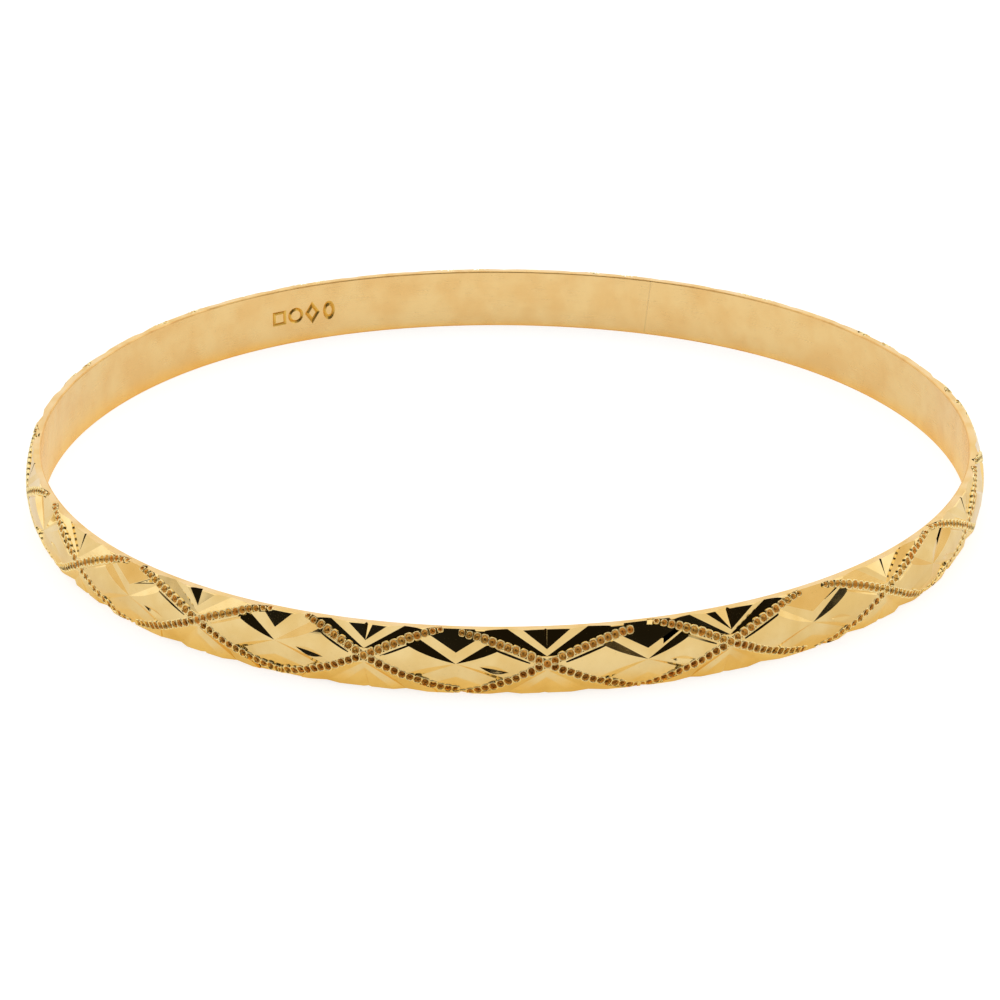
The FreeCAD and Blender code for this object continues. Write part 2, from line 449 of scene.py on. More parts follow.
def bead_places(crossing, side, up, skip_first):
    """Where the beads of one half of a line sit: (around from the crossing, arc height)."""
    slope = UP_RISE[0] if up > 0 else DOWN_RISE[0]
    step = BEAD_PITCH / math.hypot(1, slope)
    places = []
    number = 1 if skip_first else 0
    while True:
        distance = step * number + (FIRST_BEAD if skip_first else 0)
        arc_height = line_height(crossing, side, up, distance)
        if abs(arc_height) > LAST_ARC or distance > HALF_PITCH - BEADLESS_END[up]:
            return places
        places.append((side * distance, arc_height))
        number += 1


def line_directions(crossing, side, up, around):
    """Along and across a line, as (around, arc height) unit steps."""
    slope, bend = UP_RISE if up > 0 else DOWN_RISE
    slope *= crossing.steep.get((side, up), 1.0)
    steep = up * side * (slope - 3 * bend * around**2)
    length = math.hypot(1, steep)
    return (1 / length, steep / length), (-steep / length, 1 / length)


def trough_outline(crossing, side, up, distance, profile):
    """A trough's outline, flat across its line, from (level, width) pairs."""
    arc_height = line_height(crossing, side, up, distance)
    across = line_directions(crossing, side, up, distance)[1]
    radius, height = section_place(arc_height)
    tilt = sink_angle(arc_height)
    outline = []
    for level, width in profile:
        climb = width * across[1]
        outline.append(
            ring_point(
                crossing.angle + (side * distance + width * across[0]) / CROWN_RADIUS,
                radius + level * math.cos(tilt) - climb * math.sin(tilt),
                height + level * math.sin(tilt) + climb * math.cos(tilt),
            )
        )
    return outline


def add_channel(tools, crossing, side, up):
    """The trough under one half of a beaded line, from the crossing to the edge."""
    end = abs(bead_places(crossing, side, up, False)[-1][0]) + CHANNEL_PAST
    stations = []
    for step in range(CHANNEL_STEPS + 1):
        distance = -CHANNEL_BACK + (end + CHANNEL_BACK) * step / CHANNEL_STEPS
        stations.append(trough_outline(crossing, side, up, distance, CHANNEL_PROFILE))
    tools.swept(stations, ROUND_CUT)


# A ledge: its near and far sides from the line's middle, how far its near side leans in, the
# limits for its start, its greatest depth and its gap to the last bead, and how its depth swells.
LEDGE_NEAR = 0.37
LEDGE_FAR = 0.637
LEDGE_LEAN = 0.07
LEDGE_LID = 0.25
LEDGE_LIP = 0.02
LEDGE_STARTS = (0.75, 1.1)
LEDGE_DEPTHS = (0.055, 0.085)
LEDGE_GAPS = (0.6, 1.0)
LEDGE_END_SHARE = 0.45
LEDGE_SWELL = 0.55
LEDGE_SWELL_RATE = 1.3
LEDGE_STEPS = 14


def add_ledge(tools, crossing, side, chance):
    """A shallow cut along the lower side of an upper beaded line."""
    end = abs(bead_places(crossing, side, 1, False)[-1][0]) - chance.uniform(*LEDGE_GAPS)
    start = chance.uniform(*LEDGE_STARTS)
    deepest = chance.uniform(*LEDGE_DEPTHS)
    stations = []
    for step in range(LEDGE_STEPS + 1):
        share = step / LEDGE_STEPS
        distance = start + (end - start) * share
        swell = math.sin(math.pi * min(share * LEDGE_SWELL_RATE, 1))
        depth = deepest * (LEDGE_END_SHARE + LEDGE_SWELL * swell)
        profile = [
            (-depth, -LEDGE_NEAR),
            (LEDGE_LID, -LEDGE_NEAR + LEDGE_LEAN),
            (LEDGE_LID, -LEDGE_FAR),
            (LEDGE_LIP, -LEDGE_FAR),
        ]
        stations.append(trough_outline(crossing, side, 1, distance, profile))
    tools.swept(stations, ROUND_CUT)


# -------------------------------- the facets
# Sizes that differ between the upper and the lower half of a star or a fan go by 1 and -1.
# Heights and distances around are taken from the centre of the star or the crossing, depths from
# the dome. Pairs are the limits between which a share or an unevenness is drawn.
BEYOND = HALF_WIDTH + 0.25
SEARCH_STEP = 0.01
TIP_SLOPE = 0.38
LEANS = (-0.12, 0.12)

STAR_TIP = {1: 0.78, -1: 0.95}
STAR_TIP_SPREAD = (-0.06, 0.06)
STAR_SLOPE_SHARES = (0.92, 1.08)
RAY_SLOPE = {1: 0.60, -1: 0.46}
RAY_SLOPE_SPREAD = (-0.03, 0.03)
RAY_DEPTH = {1: 0.25, -1: 0.18}
RAY_DEPTH_SPREAD = (-0.03, 0.03)
SHORTEST_RAY = 1.5
# the place beside a ray where its outer wall meets the dome
RAY_SIDE = 1.0
RAY_SIDE_HEIGHT = {1: 0.30, -1: 0.22}
RAY_SIDE_SPREAD = (-0.07, 0.05)
LIP_SHARE = 0.55
# the outer wall runs on past the ray's end, under the beaded line
WALL_PAST = 0.55
WALL_FAR = 0.6
WALL_TOP_PAST = 0.5
WALL_TOP_HEIGHT = 0.62

FAN_FOOT = 0.47
FAN_FOOT_DEPTH = 0.04
FAN_TIP = 0.86
FAN_TIP_SPREAD = (-0.10, 0.18)
FAN_SLOPE_SHARES = (0.92, 1.12)
FAN_SIDE = 2.50
FAN_SIDE_SPREAD = (-0.30, 0.30)
FAN_RIM_DEPTH = {1: 0.06, -1: 0.21}
FAN_RIM_SPREAD = (-0.04, 0.04)
# the outer wall of a fan's groove meets the dome here, this much under the beaded line
FAN_HOLD = 2.9
FAN_HOLD_DROP = {1: 0.25, -1: 0.0}
FAN_WALL_NEAR = 1.2
FAN_WALL_FAR = 3.3
FAN_WALL_PAST = 1.3

GROOVE_START_DEPTH = 0.005
GROOVE_START_RISE = 0.02
GROOVE_DEPTH = 0.14
GROOVE_DEPTH_SPREAD = (-0.02, 0.02)
GROOVE_WIDENING = {1: 1.0, -1: 2.4}
GROOVE_WIDTHS = (0.08, 0.16)
GROOVE_OVERRUN = 0.4


def sloping_plane(tip, slope, up):
    """The plane through a tip that sinks at a slope towards the upper or lower edge."""
    return np.array([tip.y + up * slope * tip.z, 0, -up * slope])


def add_star(tools, star, neighbours, up, chance):
    """The upper or lower half of a star: two rays and the triangle between them."""
    centre = star.at(0, star.height)
    tip_height = star.height + up * STAR_TIP[up] + chance.uniform(*STAR_TIP_SPREAD)
    tip = star.at(0, tip_height)
    triangle = sloping_plane(tip, TIP_SLOPE * chance.uniform(*STAR_SLOPE_SHARES), up)
    middle = [tip]
    others = []
    for side in (-1, 1):
        crossing = neighbours[side]
        width = side * (crossing.angle - star.angle) * CROWN_RADIUS

        def line(x):
            return line_height(crossing, -side, up, width - abs(x))

        steep = RAY_SLOPE[up] + chance.uniform(*RAY_SLOPE_SPREAD)
        reach = SHORTEST_RAY
        while (star.height + up * steep * reach - line(reach)) * up < 0:
            reach += SEARCH_STEP
        depth = (RAY_DEPTH[up] + chance.uniform(*RAY_DEPTH_SPREAD)) * star.strength
        end = star.at(side * reach, star.height + up * steep * reach, depth)
        outer_height = star.height + up * RAY_SIDE_HEIGHT[up] + chance.uniform(*RAY_SIDE_SPREAD)
        outer = star.at(side * RAY_SIDE, outer_height)
        inner_wall = plane_through(centre, end, tip)
        outer_wall = plane_through(centre, end, outer)
        corner_height = tip_height
        while (corner_height - line(shared_x(inner_wall, triangle, corner_height))) * up < 0:
            corner_height += SEARCH_STEP * up
        corner = on_plane(triangle, shared_x(inner_wall, triangle, corner_height), corner_height)
        lip = on_plane(triangle, side * abs(corner.x) * LIP_SHARE, up * BEYOND)
        others.append([centre, end, corner, tip])
        past = reach + WALL_PAST
        near, far = (
            on_plane(outer_wall, side * across, line(across)) for across in (past, past + WALL_FAR)
        )
        top_height = star.height + up * WALL_TOP_HEIGHT
        top = on_plane(outer_wall, side * (past + WALL_TOP_PAST), top_height)
        others.append([centre, end, near, far, top])
        middle = [lip, corner] + middle if side < 0 else middle + [corner, lip]
    tools.patch(star, [middle] + others)


def add_fan(tools, crossing, up, chance):
    """The cuts above or below a crossing: two grooves to the edge and a triangle between."""
    foot = crossing.at(0, crossing.height + up * FAN_FOOT, FAN_FOOT_DEPTH)
    tip_height = crossing.height + up * (FAN_TIP + chance.uniform(*FAN_TIP_SPREAD))
    tip = crossing.at(chance.uniform(*LEANS), tip_height)
    triangle = sloping_plane(tip, TIP_SLOPE * chance.uniform(*FAN_SLOPE_SHARES), up)
    middle = [tip]
    others = []
    for side in (-1, 1):
        turn = (FAN_SIDE + chance.uniform(*FAN_SIDE_SPREAD)) / CROWN_RADIUS
        rim_radius = SIDE_RADIUS - FAN_RIM_DEPTH[up] + chance.uniform(*FAN_RIM_SPREAD)
        rim_across = rim_radius * math.sin(side * turn)
        rim = Vector((rim_across, rim_radius * math.cos(turn), up * HALF_WIDTH))
        inner_wall = plane_through(foot, rim, tip)
        hold_height = line_height(crossing, side, up, FAN_HOLD) - FAN_HOLD_DROP[up]
        hold = crossing.at(side * FAN_HOLD, hold_height)
        outer_wall = plane_through(foot, rim, hold)
        stretch = (up * BEYOND - foot.z) / (rim.z - foot.z)
        end = foot + (rim - foot) * stretch
        corner = on_plane(triangle, shared_x(inner_wall, triangle, up * BEYOND), up * BEYOND)
        others.append([foot, end, corner, tip])
        near, far = (
            on_plane(outer_wall, side * across, line_height(crossing, side, up, across))
            for across in (FAN_WALL_NEAR, FAN_WALL_FAR)
        )
        last = on_plane(outer_wall, side * (abs(end.x) + FAN_WALL_PAST), up * BEYOND)
        others.append([foot, near, far, last, end])
        middle = [corner] + middle if side < 0 else middle + [corner]
    tools.patch(crossing, [middle] + others)
    add_middle_groove(tools, crossing, tip, triangle, up, chance)


def add_middle_groove(tools, crossing, tip, triangle, up, chance):
    """A V from the triangle's tip to the edge, fine or with one broad wall."""
    start = Vector((tip.x, tip.y - GROOVE_START_DEPTH, tip.z + up * GROOVE_START_RISE))
    bottom = on_plane(triangle, tip.x + chance.uniform(*LEANS), up * BEYOND)
    depth = GROOVE_DEPTH + chance.uniform(*GROOVE_DEPTH_SPREAD)
    left_width = GROOVE_WIDENING[up] * chance.uniform(*GROOVE_WIDTHS)
    right_width = GROOVE_WIDENING[up] * chance.uniform(*GROOVE_WIDTHS)
    if up > 0 and crossing.groove:
        left_width, right_width, depth = crossing.groove
    bottom.y -= depth
    left = on_plane(triangle, bottom.x - left_width, up * BEYOND)
    right = on_plane(triangle, bottom.x + right_width, up * BEYOND)
    # both walls run on past the triangle's surface, so that they end in a clean line on it
    over_left = left + (left - bottom) * GROOVE_OVERRUN
    over_right = right + (right - bottom) * GROOVE_OVERRUN
    tools.patch(crossing, [[start, bottom, over_left], [start, over_right, bottom]])


# A slanting dent's middle line: where it starts from the star and how far it runs, as (around,
# drop). The dent's depth and its widths below and above that line are those at its middle.
SLASH_START = (1.45, 0.17)
SLASH_RUN = (1.9, 0.40)
SLASH_DEPTH = 0.09
SLASH_BELOW = 0.34
SLASH_ABOVE = 0.30
SLASH_LID = 0.02
SLASH_END_SIZE = 0.02
SLASH_STEPS = 8


def add_slash(tools, star):
    """A faint slanting dent low on the right of a star."""
    stations = []
    for step in range(SLASH_STEPS + 1):
        share = step / SLASH_STEPS
        x = SLASH_START[0] + SLASH_RUN[0] * share
        z = star.height - SLASH_START[1] - SLASH_RUN[1] * share
        size = SLASH_END_SIZE + math.sin(math.pi * share)
        bottom = star.at(x, z, SLASH_DEPTH * size)
        below = star.at(x, z - SLASH_BELOW * size, -SLASH_LID)
        above = star.at(x, z + SLASH_ABOVE * size, -SLASH_LID)
        stations.append([star.world(point) for point in (bottom, below, above)])
    tools.swept(stations, ROUND_CUT)


# -------------------------------- the marks and the joint
# Generic punch marks inside: a square, a circle, a lozenge and an oval. Each is one closed stroke,
# (corners, first corner in degrees, width share).
PUNCH_MARKS = [(4, 45.0, 1.0), (18, 0.0, 1.0), (4, 90.0, 0.68), (18, 0.0, 0.62)]
MARK_PITCH = 1.35
MARK_SIZES = [0.62, 0.50, 0.64, 0.56]
STROKE_DEPTH = 0.10
STROKE_LID = 0.04
STROKE_HALF_WIDTH = 0.17


def add_marks(tools):
    """Punched strokes in the inner wall, as V grooves."""
    for number, (corners, first, share) in enumerate(PUNCH_MARKS):
        middle = (number - (len(PUNCH_MARKS) - 1) / 2) * MARK_PITCH
        size = MARK_SIZES[number]
        spread = STROKE_HALF_WIDTH / (size * math.cos(math.pi / corners) * share)
        stations = []
        for corner in range(corners):
            turn = math.radians(first) + 2 * math.pi * corner / corners
            outline = []
            for scale, depth in (
                (1, STROKE_DEPTH),
                (1 + spread, -STROKE_LID),
                (1 - spread, -STROKE_LID),
            ):
                around = middle + size * scale * share * math.cos(turn)
                height = size * scale * math.sin(turn)
                angle = MARKS_ANGLE - around / INNER_RADIUS
                outline.append(ring_point(angle, INNER_RADIUS + depth, height))
            stations.append(outline)
        tools.swept(stations, FLAT_CUT, closed=True)


SLAB_MARGIN = 1


def joint_slab():
    """The slanting slice of the ring that the solder fills."""
    corners = []
    for height in (-HALF_WIDTH - SLAB_MARGIN, HALF_WIDTH + SLAB_MARGIN):
        for radius in (INNER_RADIUS - SLAB_MARGIN, CROWN_RADIUS + SLAB_MARGIN):
            for side in (-1, 1):
                around = side * JOINT_WIDTH / 2 + height * math.tan(JOINT_SLANT)
                corners.append(ring_point(JOINT_ANGLE - around / INNER_RADIUS, radius, height))
    slab = Tools()
    faces = [(0, 1, 3, 2), (4, 6, 7, 5), (0, 4, 5, 1), (2, 3, 7, 6), (0, 2, 6, 4), (1, 5, 7, 3)]
    slab.add(corners, faces, FLAT_CUT)
    return slab.build("joint_slab")


def pattern_tools(stars, crossings):
    """Everything that is cut from the band, as one object."""
    chance = random.Random(SEED + 1)
    ledge_chance = random.Random(SEED + 3)
    tools = Tools()
    for number in range(LOZENGES):
        neighbours = {-1: crossings[number - 1], 1: crossings[number]}
        star = stars[number]
        if number == 0:
            first = crossings[-1]
            neighbours[-1] = Spot(first.angle - 2 * math.pi, first.height, first.steep)
        for up in (1, -1):
            add_star(tools, star, neighbours, up, chance)
            add_fan(tools, crossings[number], up, chance)
            for side in (-1, 1):
                add_channel(tools, crossings[number], side, up)
                if up > 0:
                    add_ledge(tools, crossings[number], side, ledge_chance)
        add_slash(tools, star)
    add_marks(tools)
    return tools.build("pattern_tools")


def take_boolean(piece, tool, operation):
    """Cut a piece with a tool, or keep what they share, and apply the result."""
    modifier = piece.modifiers.new("cut", "BOOLEAN")
    modifier.operation = operation
    modifier.object = tool
    modifier.solver = "EXACT"
    modifier.use_self = True
    depsgraph = bpy.context.evaluated_depsgraph_get()
    result = bpy.data.meshes.new_from_object(piece.evaluated_get(depsgraph))
    piece.modifiers.clear()
    piece.data = result


SHARP_ANGLE = math.radians(14)


def set_normals(piece):
    """Exact normals on the plain surfaces and flat ones on the V cuts, so that edges stay crisp."""
    mesh = piece.data
    for polygon in mesh.polygons:
        polygon.use_smooth = True
    mesh.set_sharp_from_angle(angle=SHARP_ANGLE)
    normals = [tuple(corner.vector) for corner in mesh.corner_normals]
    for polygon in mesh.polygons:
        if polygon.material_index == FLAT_CUT:
            for loop in polygon.loop_indices:
                normals[loop] = tuple(polygon.normal)
        elif polygon.material_index == BASE_FACE:
            for loop in polygon.loop_indices:
                place = mesh.vertices[mesh.loops[loop].vertex_index].co
                radius = math.hypot(place.x, place.y)
                radial, axial = section_normal(radius, place.z)
                normals[loop] = (radial * place.x / radius, radial * place.y / radius, axial)
    mesh.normals_split_custom_set(normals)


def bend_out_of_round(mesh):
    """Move every point outward or inward as the hand-bent ring does."""
    count = len(mesh.vertices)
    places = np.empty(count * 3)
    mesh.vertices.foreach_get("co", places)
    places = places.reshape(count, 3)
    angle = np.arctan2(places[:, 1], places[:, 0])
    swing = sum(c * np.cos(n * angle) + s * np.sin(n * angle) for n, c, s in OUT_OF_ROUND)
    radius = np.hypot(places[:, 0], places[:, 1])
    places[:, :2] *= (1 + swing * INNER_RADIUS / radius)[:, None]
    mesh.vertices.foreach_set("co", places.ravel())


# The band's materials, by their place in its list.
BAND_GOLDS = ["gold", "inner_gold_painted_shade", "edge_gold", "mark_gold", "rim_gold"]
OUTSIDE, INNER_WALL, EASED_EDGE, MARKS, RIMS = range(len(BAND_GOLDS))
# the middles of the inner wall's faces are within this radius, those of the rims past this height
WALL_LIMIT = INNER_RADIUS + 0.09
RIM_LIMIT = HALF_WIDTH - 0.02


def band_materials(mesh):
    """The number of each face's material, by where the face is."""
    numbers = []
    for polygon in mesh.polygons:
        place = polygon.center
        plain = polygon.material_index == BASE_FACE
        if math.hypot(place.x, place.y) >= WALL_LIMIT:
            numbers.append(RIMS if plain and abs(place.z) > RIM_LIMIT else OUTSIDE)
        elif not plain:
            numbers.append(MARKS)
        else:
            numbers.append(EASED_EDGE if abs(place.z) > HALF_WIDTH - EDGE_EASE else INNER_WALL)
    return numbers


def finish_piece(piece, materials, numbers):
    """Bend and scale the piece, give it its materials and hand it to the frame."""
    mesh = piece.data
    bend_out_of_round(mesh)
    mesh.transform(Matrix.Scale(MM, 4))
    mesh.materials.clear()
    for material in materials:
        mesh.materials.append(material)
    mesh.polygons.foreach_set("material_index", numbers)
    mesh.update()
    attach(piece, "root")


# -------------------------------- the beads
BEAD_ALONG = 0.275
BEAD_ACROSS = 0.33
BEAD_SIDES = 20
# The upper lines' beads shrink by up to this share where they run out over the shoulder.
BEAD_SHRINK = 0.30
SHRINK_FROM = 1.65
SHRINK_OVER = 0.6
# The lower lines' beads sink by up to this much, away from their crossing.
BEAD_SINK = 0.065
SINK_FROM = 2.4
SINK_OVER = 1.6
# How deep and how square the upper and the lower lines' beads are, against the profiles.
BEAD_DEPTH = {1: 0.8, -1: 1.0}
BEAD_SQUARENESS = {1: 0.4, -1: 1.0}
ROUND_POWER = 2
SQUARE_POWER = 3
# The limits of each bead's own unevenness.
ALONG_SHARES = (0.97, 1.06)
ACROSS_SHARES = (0.90, 1.05)
SHEARS = (-0.10, 0.10)
DEPTH_SHARES = (0.85, 1.1)
DRIFTS = (-0.03, 0.03)
# The rings of a bead as (size, level, squareness): its lip from the buried skirt inwards, then
# its cup.
LIP_PROFILE = [
    (1.03, -0.28, 1.0),
    (1.03, -0.08, 1.0),
    (1.00, -0.01, 0.8),
    (0.95, 0.026, 0.5),
    (0.88, 0.034, 0.3),
    (0.82, 0.018, 0.1),
    (0.79, -0.02, 0.1),
]
CUP_PROFILE = [
    (0.79, -0.02, 0.1),
    (0.72, -0.08, 0.0),
    (0.62, -0.15, 0.0),
    (0.47, -0.20, 0.0),
    (0.27, -0.23, 0.0),
    (0.10, -0.24, 0.0),
]
# The ring at which the dark bottom, a painted shade, starts in the pits of the upper and of the
# lower lines.
PAINTED_SHADE_RING = {1: 4, -1: 2}


def passed(value, start, over):
    """How far a value is past a start, as a share of a distance, from 0 to 1."""
    return max(0, min(1, (value - start) / over))


class Cup:
    """One bead: where it sits on the surface and the shape of its outline."""

    def __init__(self, crossing, side, up, around, arc_height, chance):
        self.crossing = crossing
        self.up = up
        self.around = around
        self.arc_height = arc_height
        self.along, self.across = line_directions(crossing, side, up, abs(around))
        small = 1 - BEAD_SHRINK * passed(abs(arc_height), SHRINK_FROM, SHRINK_OVER) * (up > 0)
        self.along_size = small * BEAD_ALONG * chance.uniform(*ALONG_SHARES)
        self.across_size = small * BEAD_ACROSS * chance.uniform(*ACROSS_SHARES)
        self.shear = chance.uniform(*SHEARS)
        self.deep = chance.uniform(*DEPTH_SHARES) * BEAD_DEPTH[up]
        self.drift = chance.uniform(*DRIFTS)
        self.sink = BEAD_SINK * passed(abs(around), SINK_FROM, SINK_OVER) * (up < 0)

    def point(self, turn, size, level, square):
        """A point of one ring of the bead, at a turn around its middle."""
        power = ROUND_POWER + SQUARE_POWER * square * BEAD_SQUARENESS[self.up]
        reach = (abs(math.cos(turn)) ** power + abs(math.sin(turn)) ** power) ** (-1 / power)
        step = math.cos(turn) * reach * self.along_size * size
        step += math.sin(turn) * self.shear * self.across_size * size
        stride = math.sin(turn) * reach * self.across_size * size + self.drift
        place = self.around + self.along[0] * step + self.across[0] * stride
        walked = self.arc_height + self.along[1] * step + self.across[1] * stride
        level = level if level > 0 else level * self.deep
        return surface_point(self.crossing.angle, place, walked, level - self.sink)


def all_cups(crossings):
    """Every bead of the band; a crossing's own bead goes with its upper right line."""
    chance = random.Random(SEED + 2)
    cups = []
    for crossing in crossings:
        for up in (1, -1):
            for side in (-1, 1):
                skip = (up * side) < 0 or up < 0
                for around, arc_height in bead_places(crossing, side, up, skip):
                    cups.append(Cup(crossing, side, up, around, arc_height, chance))
    return cups


def make_rings(name, cups, profile):
    """The same rings for every bead, as one smooth piece."""
    points = []
    faces = []
    kinds = []
    turns = [2 * math.pi * corner / BEAD_SIDES for corner in range(BEAD_SIDES)]
    for cup in cups:
        for ring, (size, level, square) in enumerate(profile):
            first = len(points)
            points += [cup.point(turn, size, level, square) for turn in turns]
            if ring > 0:
                # the rings past this one get the dark painted shade
                deep = profile is CUP_PROFILE and ring > PAINTED_SHADE_RING[cup.up]
                faces += strip(first - BEAD_SIDES, first, BEAD_SIDES)
                kinds += [DEEP if deep else BASE_FACE] * BEAD_SIDES
        if profile is CUP_PROFILE:
            faces.append(tuple(range(len(points) - BEAD_SIDES, len(points))))
            kinds.append(DEEP)
    piece = new_object(name, points, faces, kinds)
    for polygon in piece.data.polygons:
        polygon.use_smooth = True
    return piece


# -------------------------------- materials
class Nodes:
    """Short ways of adding nodes to a tree."""

    def __init__(self, tree):
        self.nodes = tree.nodes
        self.links = tree.links

    def put(self, value, socket):
        """Link a socket to another, or set its number or its colour."""
        if isinstance(value, bpy.types.NodeSocket):
            self.links.new(value, socket)
        elif isinstance(value, tuple):
            socket.default_value = (*value, 1)
        else:
            socket.default_value = value

    def math(self, operation, first, second=0.0):
        node = self.nodes.new("ShaderNodeMath")
        node.operation = operation
        self.put(first, node.inputs[0])
        self.put(second, node.inputs[1])
        return node.outputs[0]

    def total(self, first, second):
        return self.math("ADD", first, second)

    def less(self, first, second):
        return self.math("SUBTRACT", first, second)

    def times(self, first, second):
        return self.math("MULTIPLY", first, second)

    def ramp(self, value, low, high, start=0.0, end=1.0):
        """A smooth step from start to end while the value goes from low to high."""
        node = self.nodes.new("ShaderNodeMapRange")
        node.interpolation_type = "SMOOTHSTEP"
        for name, number in (
            ("Value", value),
            ("From Min", low),
            ("From Max", high),
            ("To Min", start),
            ("To Max", end),
        ):
            self.put(number, node.inputs[name])
        return node.outputs["Result"]

    def noise(self, place, scale, detail=2.0):
        node = self.nodes.new("ShaderNodeTexNoise")
        self.put(place, node.inputs["Vector"])
        self.put(scale, node.inputs["Scale"])
        self.put(detail, node.inputs["Detail"])
        return node.outputs["Fac"]

    def blend(self, share, first, second):
        """The share of the way from one colour to another."""
        node = self.nodes.new("ShaderNodeMix")
        node.data_type = "RGBA"
        self.put(share, node.inputs["Factor"])
        self.put(first, node.inputs["A"])
        self.put(second, node.inputs["B"])
        return node.outputs["Result"]

    def bump(self, height, depth, below=None):
        node = self.nodes.new("ShaderNodeBump")
        self.put(height, node.inputs["Height"])
        self.put(depth, node.inputs["Distance"])
        if below is not None:
            self.put(below, node.inputs["Normal"])
        return node.outputs["Normal"]

    def combine(self, x, y, z):
        node = self.nodes.new("ShaderNodeCombineXYZ")
        for value, socket in zip((x, y, z), node.inputs):
            self.put(value, socket)
        return node.outputs[0]

    def coordinates(self, kind):
        """Coordinates of one kind, whole and as x, y and z."""
        place = self.nodes.new("ShaderNodeTexCoord").outputs[kind]
        split = self.nodes.new("ShaderNodeSeparateXYZ")
        self.put(place, split.inputs[0])
        return place, *split.outputs

    def axis_distance(self, x, y):
        return self.math("SQRT", self.total(self.times(x, x), self.times(y, y)))

    def camera_ray(self):
        """1 for what the camera sees itself, 0 for what it sees in a reflection."""
        return self.nodes.new("ShaderNodeLightPath").outputs["Is Camera Ray"]


def new_material(name):
    material = bpy.data.materials.new(name)
    material.use_nodes = True
    return material, Nodes(material.node_tree), material.node_tree.nodes["Principled BSDF"]


# Scales of the golds' noises, in features to the metre, the part of each noise's range that
# shows, and how much it changes.
PATCHES = 420.0
CLOUDS = 95.0
PATCH_SHARE = 0.65
CLOUD_SHARE = 0.35
TONE_RANGE = (0.36, 0.66)
SPECKS = 5200.0
SPECK_RANGE = (0.66, 0.80)
SPECK_SHARE = 0.35
SPECK_TONE = 0.7
WEAR = 700.0
WEAR_RANGE = (0.35, 0.70)
WORN_ROUGHNESS = (0.75, 1.35)
WAVES = 520.0
LINES = 2600.0
LINE_RANGE = (0.5, 0.8)
LINE_STRETCH = 6.0
LINE_WANDER = 0.001
LINE_ROUGHNESS = 0.5


def gold_material(name, bright, deep, rough, wave_depth, line_depth):
    """Gold whose colour, gloss and surface vary a little, with polishing lines round the ring."""
    material, tree, shader = new_material(name)
    place, x, y, z = tree.coordinates("Object")

    patches = tree.noise(place, PATCHES, 3.0)
    clouds = tree.noise(place, CLOUDS)
    share = tree.total(tree.times(patches, PATCH_SHARE), tree.times(clouds, CLOUD_SHARE))
    colour = tree.blend(tree.ramp(share, *TONE_RANGE), bright, deep)
    specks = tree.ramp(tree.noise(place, SPECKS), *SPECK_RANGE, 0.0, SPECK_SHARE)
    colour = tree.blend(specks, colour, tuple(channel * SPECK_TONE for channel in deep))
    tree.put(colour, shader.inputs["Base Color"])
    tree.put(1.0, shader.inputs["Metallic"])

    across = tree.times(tree.axis_distance(x, y), LINE_STRETCH)
    along = tree.times(z, LINE_STRETCH)
    lines = tree.combine(across, along, tree.times(clouds, LINE_WANDER))
    lines = tree.noise(lines, LINES, 3.0)
    worn = tree.noise(place, WEAR, 3.0)
    worn = tree.ramp(worn, *WEAR_RANGE, *(rough * factor for factor in WORN_ROUGHNESS))
    lined = tree.ramp(lines, *LINE_RANGE, 0.0, rough * LINE_ROUGHNESS)
    tree.put(tree.total(worn, lined), shader.inputs["Roughness"])
    waves = tree.bump(tree.noise(place, WAVES, 1.0), wave_depth)
    tree.put(tree.bump(lines, line_depth, waves), shader.inputs["Normal"])
    return material


FLOOR_WHITE = (0.80, 0.80, 0.80)
FLOOR_REFLECTED = (0.54, 0.52, 0.49)
FLOOR_PAINTED_GLOW = (0.62, 0.48, 0.22)
FLOOR_BASE = (0.45, 0.45, 0.45)
# how far from the band the painted glow is full and where it ends, in metres
PAINTED_GLOW_REACH = (0.0002, 0.0024)


def floor_material():
    """White to the eye; in reflections it shows painted shade and the warm glow gold throws on it
    close by.
    """
    material, tree, shader = new_material("pale_floor")
    _, x, y, _ = tree.coordinates("Object")
    away = tree.math("ABSOLUTE", tree.less(tree.axis_distance(x, y), SIDE_RADIUS * MM))
    near = tree.ramp(away, *PAINTED_GLOW_REACH, 1.0, 0.0)
    painted_glow = tree.blend(near, FLOOR_REFLECTED, FLOOR_PAINTED_GLOW)
    seen = tree.blend(tree.camera_ray(), painted_glow, FLOOR_WHITE)
    tree.put(seen, shader.inputs["Emission Color"])
    tree.put(1.0, shader.inputs["Emission Strength"])
    tree.put(FLOOR_BASE, shader.inputs["Base Color"])
    tree.put(0.9, shader.inputs["Roughness"])
    tree.put(0.0, shader.inputs["Specular IOR Level"])
    return material


# -------------------------------- stage, light and camera
FLOOR_RADIUS = 1.6
WORLD_STRENGTH = 1.12
# The dark opening: its turn from the front, the angles between which it fades at its sides, its
# bottom and its top, all in degrees, and the light that is left in it.
DARK_TURN = 3
DARK_SIDES = (74, 62)
DARK_BOTTOM = (-4, 1)
DARK_TOP = (52, 64)
DARK_LEVEL = 0.012
# The warm soft panels of the tent, as reflections show them.
PANEL_SCALE = 2.6
PANEL_RANGE = (0.47, 0.60)
PANEL_COLOUR = (0.74, 0.61, 0.42)
TENT_COLOUR = (1.0, 1.0, 1.0)
# keeps the square root above zero straight up and down
ABOVE_ONE = 1.0001


def make_floor():
    bpy.ops.mesh.primitive_circle_add(vertices=96, radius=FLOOR_RADIUS, fill_type="NGON")
    floor = bpy.context.object
    floor.name = "floor"
    floor.location.z = FLOOR_HEIGHT * MM
    floor.data.materials.append(floor_material())


def sines(degrees):
    return [math.sin(math.radians(angle)) for angle in degrees]


